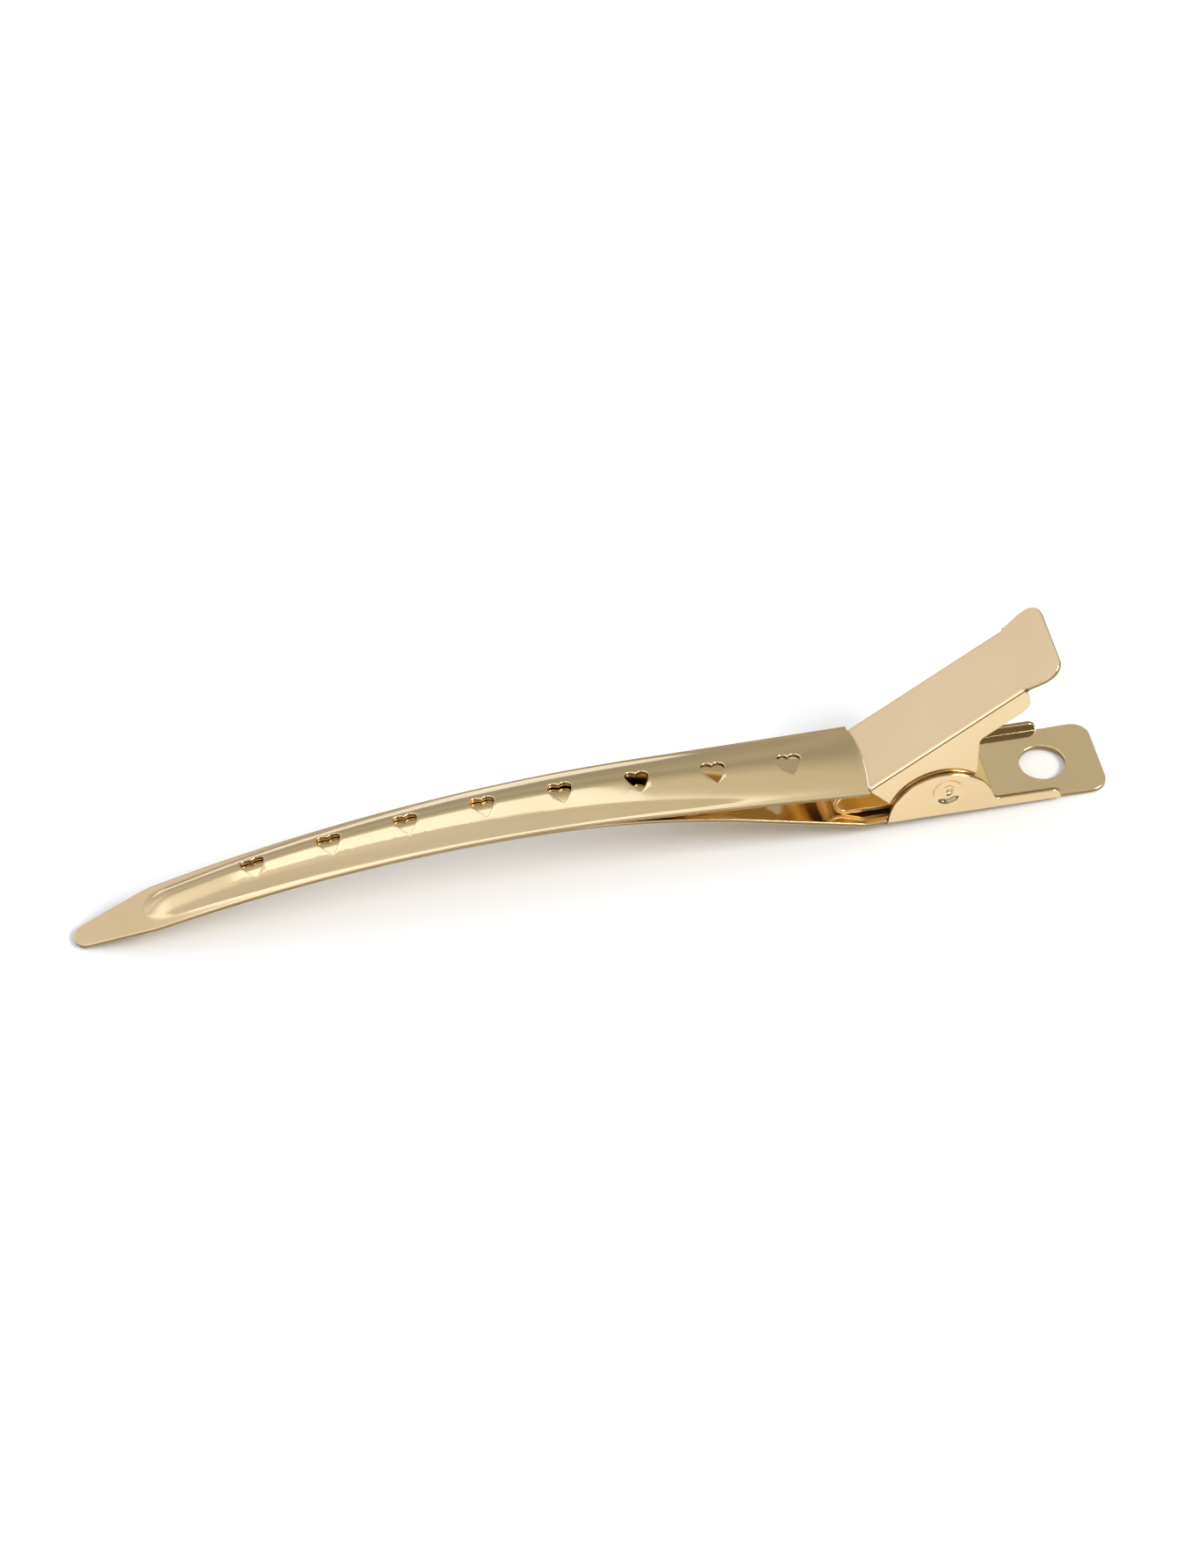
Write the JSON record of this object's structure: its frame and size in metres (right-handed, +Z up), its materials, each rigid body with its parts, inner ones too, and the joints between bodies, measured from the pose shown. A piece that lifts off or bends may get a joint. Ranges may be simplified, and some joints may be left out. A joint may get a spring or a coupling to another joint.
{
  "type": "duckbill hair clip",
  "caption": "Slim gold sheet-metal duckbill hair clip: two long arched jaws, the upper pierced with a row of small hearts, on a dimpled hinge with a bent leaf spring.",
  "frame": {"origin": "on the surface that the closed clip rests on, under the middle of its outline", "axes": "+X along the clip towards the levers, +Y across it, +Z up; the tip is at -X and the upper jaw on top"},
  "size_m": [0.09, 0.0086, 0.0159],
  "materials": {
    "plated_sheet": "polished pale gold plating on steel",
    "plated_spring": "polished gold plating on spring steel"
  },
  "bodies": {
    "lower": {"lower_jaw": "plated_sheet", "leaf_spring": "plated_spring"},
    "upper": {"upper_jaw": "plated_sheet"}
  },
  "joints": [
    {"name": "jaw_hinge", "type": "hinge", "parent": "lower", "child": "upper", "pos_m": [0.03054, 0, 0.00355], "axis": [0, 1, 0], "range_deg": [0, 30], "stiffness_Nm_per_rad": 0.2, "springref_deg": -20.05, "deforming": ["leaf_spring"]}
  ]
}
